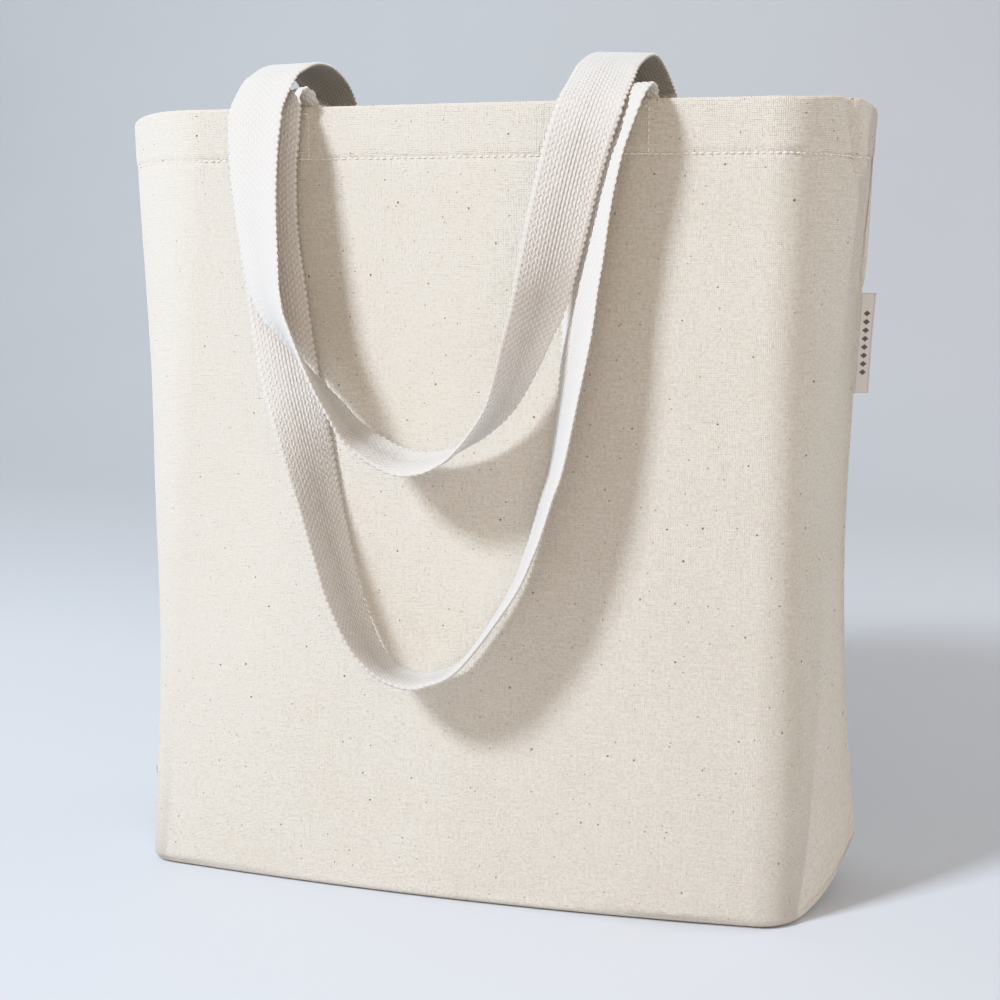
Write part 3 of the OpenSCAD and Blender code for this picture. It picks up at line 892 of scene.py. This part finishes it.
BACK_ROUTE = [
    (-92, 23, 379, 0, 0), (-92, 23, 394, 0, 0), (-92, 23, 405, 0, 0), (-92, 22.3, 412, 0, -1),
    (-91.7, 19.7, 418, 0, -2), (-91, 5, 426, 0, -3), (-90.5, -17, 430.5, 0, -2), (-90, -40, 428.5, 0, 3),
    (-89.5, -60, 422.5, -1, 6), (-90, -69, 417.8, -3, 6), (-91.2, -81.5, 405, -6, 3),
    (-91, -85.2, 397, -9, 0), (-91.2, -87.2, 385, -14, 0), (-90.2, -89.8, 361, -23, 0),
    (-87.8, -91.5, 337, -31, 0), (-85.3, -92.9, 320, -37, 0), (-80.8, -93.9, 308, -44, 0),
    (-74.5, -94.4, 297.5, -54, 0), (-66, -94.4, 284, -66, 0), (-57.5, -94, 271.5, -77, -2),
    (-50, -93.5, 261.5, -82, -8), (-42, -93, 251, -84, -15), (-32.5, -92.5, 243.5, -84, -18),
    (-18, -92, 236.5, -83, -17), (-6, -91.7, 236, -81, -11), (5, -91.6, 239.5, -81, -4),
    (12, -91.5, 243.5, -83, 3), (20, -91.3, 250, -89, 9), (30, -91, 261.5, -101, 9),
    (36, -90.7, 273, -112, 5), (41.5, -90.3, 288, -124, 1), (46, -90, 301, -132, 0),
    (50, -89.8, 313, -142, 0), (56.5, -89.8, 341, -155, 0), (61, -90.5, 360, -160, 1),
    (65.3, -90.4, 377, -163, 1), (69, -89.8, 390, -165, 0), (71.5, -86.5, 399, -167, 0),
    (73.3, -82, 406, -169, 0), (75, -68, 416, -172, 0), (75.5, -57, 422, -176, 1),
    (77, -35, 429, -179, 2), (78.5, -15, 431.3, -180, 3), (80.5, 5, 426, -180, 2),
    (82.5, 19.7, 418, -180, 1), (83.5, 22.7, 412, -180, 0), (84, 23.8, 405, -180, 0),
    (84, 23.8, 394, -180, 0), (84, 23.8, 379, -180, 0),
]


def webbing_path(route):
    """Evenly spaced centres, width directions and lengths along a handle's route."""
    path = spline(route)
    length = path_length(path[:, :3] * MM)
    step = GRAIN_LENGTH / ROWS_PER_GRAIN
    even = np.linspace(0, length[-1], int(length[-1] / step) + 1)
    path = np.stack([np.interp(even, length, path[:, k]) for k in range(5)], axis=1)
    centre = path[:, :3] * MM
    along = unit(np.gradient(centre, axis=0))
    azimuth, tilt = np.radians(path[:, 3]), np.radians(path[:, 4])
    wish = xyz(np.cos(azimuth) * np.cos(tilt), np.sin(azimuth) * np.cos(tilt), np.sin(tilt))
    across = unit(wish - along * np.sum(wish * along, axis=1, keepdims=True))
    return centre, across, even


def webbing(name, centre, across, length, material):
    """Woven webbing: columns of oval grains, each column half a grain on from its neighbour."""
    fullness = 0.7
    edge_start = 0.93
    inner = 0.985
    columns = np.linspace(-1, 1, 2 * GRAIN_COLUMNS + 1)
    columns = np.concatenate([[-1.0], columns[1:-1] * inner, [1.0]])
    number = (columns + 1) / 2 * GRAIN_COLUMNS
    within = number - np.floor(number)
    parity = np.floor(number) % 2
    run = length[:, None] / GRAIN_LENGTH + 0.5 * parity[None, :] + 0.3 * within[None, :]
    column_rise = np.abs(np.sin(math.pi * number))[None, :] ** fullness
    upper = column_rise * np.abs(np.sin(math.pi * run)) ** fullness
    lower = column_rise * np.abs(np.cos(math.pi * run)) ** fullness
    beyond = np.maximum(0, (np.abs(columns) - edge_start) / (1 - edge_start))
    thin = np.sqrt(np.maximum(0.03, 1 - beyond ** 2))
    top = (WEBBING_HALF - GRAIN_RISE / 2 + GRAIN_RISE * upper) * thin
    bottom = (WEBBING_HALF - GRAIN_RISE / 2 + GRAIN_RISE * lower) * thin
    wave = np.abs(np.sin(math.pi * length / GRAIN_LENGTH))
    half_width = WEBBING_WIDTH / 2 - SCALLOP * (1 - wave)
    obj = ribbon(name, centre, across, half_width, top, bottom, columns, material, length, (upper, lower))
    return obj


def make_front_handle(material):
    """One strip from sewn end to sewn end, which bends over the front rim."""
    centre, across, length = webbing_path(FRONT_ROUTE)
    obj = webbing("front_handle_webbing", centre, across, length, material)
    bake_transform(obj)
    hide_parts("front_handle_left_end", "front_handle_right_end", "front_handle_loop")


def make_back_handle(material):
    """One strip from sewn end to sewn end, in three pieces that meet over the mouth."""
    hinge_x = 0.004
    cut_y = -0.030
    centre, across, length = webbing_path(BACK_ROUTE)
    crossings = np.nonzero(np.diff(np.sign(centre[:, 1] - cut_y)))[0]
    first = crossings[0]
    last = crossings[-1]
    behind = (hinge_x, 0.024, 0.400), (hinge_x, -0.026, 0.432)
    before = (hinge_x, -0.036, 0.428), (hinge_x, -0.087, 0.392)
    spans = {
        "back_handle_left_webbing": (slice(0, first + 1), "bag", "back_bridge", behind),
        "back_handle_front_webbing": (slice(first, last + 1), "back_bridge", "back_handle", before),
        "back_handle_right_webbing": (slice(last, None), "bag", "back_bridge", behind),
    }
    nodes = {
        "back_handle_left_webbing": ("back_handle_left_end", "back_handle_left_bridge"),
        "back_handle_front_webbing": ("back_handle_loop",),
        "back_handle_right_webbing": ("back_handle_right_end", "back_handle_right_bridge"),
    }
    for name, (part, still, moving, (bend_from, bend_to)) in spans.items():
        obj = webbing(name, centre[part], across[part], length[part], material)
        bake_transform(obj)
        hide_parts(*nodes[name])


# ---------------------------------------------------------------- side label
def make_label(material):
    """Folded satin ribbon: two layers that part a little and meet in a soft fold."""
    straight = 14
    turn = 9
    fold_start = 0.97
    puff = 0.00042
    ply = 0.00022
    curl_rise = 0.0006
    clear_of_seam = 0.0001
    low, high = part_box("side_label")
    z = np.linspace(low[2], high[2], LABEL_ROWS)
    round_fold = np.linspace(-math.pi / 2, math.pi / 2, turn)
    outward = np.linspace(0, fold_start, straight)
    share = np.concatenate([outward, np.full(turn, fold_start), np.linspace(fold_start, 0, straight)])
    swing = np.concatenate([np.full(straight, -1.0), np.sin(round_fold), np.full(straight, 1.0)])
    bulge = np.concatenate([np.zeros(straight), np.cos(round_fold), np.zeros(straight)])
    out = share * LABEL_WIDTH + bulge * puff
    gap = swing * puff * np.clip(share * 2.2, 0.45, 1)
    rise = np.sin(math.pi * (z - z[0]) / (z[-1] - z[0]))
    curl = curl_rise * rise[:, None] * (out / LABEL_WIDTH)[None, :] ** 2
    foot_x = seam_x(z, 1) + clear_of_seam
    across_y = gap[None, :] + curl
    x = foot_x[:, None] + out[None, :] * math.cos(LABEL_LEAN) - across_y * math.sin(LABEL_LEAN)
    y = out[None, :] * math.sin(LABEL_LEAN) + across_y * math.cos(LABEL_LEAN)
    grid = xyz(x, y, z[:, None])
    uv = xyz((out - LABEL_WIDTH / 2)[None, :], (z - z[0])[:, None], 0)[..., :2]
    obj = cloth("side_label_ribbon", grid, ply, uv, material, False)
    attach(obj, "side_label")
    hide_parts("side_label")


# ---------------------------------------------------------------- studio
def make_backdrop(material):
    """Floor that sweeps up into a wall behind the bag."""
    front = -12.0
    wall = 2.3
    bend = 1.2
    top = 5.0
    half = 9.0
    below_floor = 0.0001
    profile = [(front, 0.0), (-1.5, 0.0), (0.0, 0.0)]
    for angle in np.radians(np.arange(0, 91, 6)):
        profile.append((wall - bend + bend * math.sin(angle), bend * (1 - math.cos(angle))))
    profile.append((wall, top))
    y, z = np.asarray(profile).T
    x = np.linspace(-half, half, 9)
    grid = xyz(x[None, :], y[:, None], z[:, None] - below_floor)
    obj = make_object("backdrop", grid, grid_quads(*grid.shape[:2]), material)


def look(aim):
    """Turn of a light that faces along aim."""
    flat = math.hypot(aim[0], aim[1])
    return (math.pi / 2 + math.atan2(aim[2], flat), 0, math.atan2(-aim[0], aim[1]))


def area_light(name, place, target, size, watts, colour):
    data = bpy.data.lights.new(name, "AREA")
    data.shape = "SQUARE"
    data.size = size
    data.energy = watts
    data.color = colour
    obj = bpy.data.objects.new(name, data)
    obj.location = place
    obj.rotation_euler = look(np.asarray(target, dtype=float) - np.asarray(place, dtype=float))
    bpy.context.scene.collection.objects.link(obj)


def make_camera():
    data = bpy.data.cameras.new("camera")
    data.sensor_width = 36
    data.lens = 50.83
    downward = math.radians(10.03)
    turned = math.radians(14)
    obj = bpy.data.objects.new("camera", data)
    obj.location = (0.192, -0.734, 0.337)
    obj.rotation_euler = (math.pi / 2 - downward, 0, turned)
    bpy.context.scene.collection.objects.link(obj)
    bpy.context.scene.camera = obj


def make_lights():
    """A small hard key at the upper left, three soft fills and a warm sky."""
    target = np.array([0.0, -0.06, 0.25])
    toward_key = unit(np.array([-0.9, -1.0, 1.0]))
    key_distance = 1.6
    area_light("key", target + toward_key * key_distance, target,
               size=0.24, watts=36.0, colour=(0.775, 0.85, 0.95))
    area_light("side_fill", (1.9, 0.7, 0.9), target,
               size=1.4, watts=17.0, colour=(0.90, 0.95, 1.0))
    area_light("wall_light", (-1.5, 0.9, 2.3), (-1.2, 2.3, 0.8),
               size=1.8, watts=16.0, colour=(0.7, 0.88, 1.0))
    area_light("front_fill", (0.5, -1.6, 0.3), target,
               size=1.5, watts=10.0, colour=(1.0, 0.80, 0.62))
    world = bpy.data.worlds.new("studio")
    world.use_nodes = True
    background = world.node_tree.nodes["Background"]
    background.inputs["Color"].default_value = (1.0, 0.90, 0.81, 1)
    background.inputs["Strength"].default_value = 0.46
    bpy.context.scene.world = world
    bpy.context.scene.view_settings.view_transform = "Khronos PBR Neutral"


def make_bag():
    """Every piece of the bag, each material made once."""
    canvas = canvas_material()
    thread = thread_material()
    overlock = overlock_material()
    cotton = webbing_material()
    faces = (("front", FRONT), ("back", BACK))
    halves = (("left", -1), ("right", 1))
    for face, side in faces:
        make_panel(face + "_panel", face + "_hem", side, canvas)
    for face, side in faces:
        hem_stitches(face + "_hem_stitching", side, thread)
    for face, side in faces:
        for half, _ in halves:
            box_stitches(face + "_" + half + "_box_stitching", side, thread)
    for half, sign in halves:
        make_side_seam(sign, half + "_side_seam", overlock)
    for half, sign in halves:
        make_corner_seam(sign, half + "_corner_seam", overlock)
    make_bottom_seam("bottom_seam", overlock)
    make_front_handle(cotton)
    make_back_handle(cotton)
    make_label(label_material())


make_camera()
make_lights()
make_backdrop(backdrop_material())
make_bag()
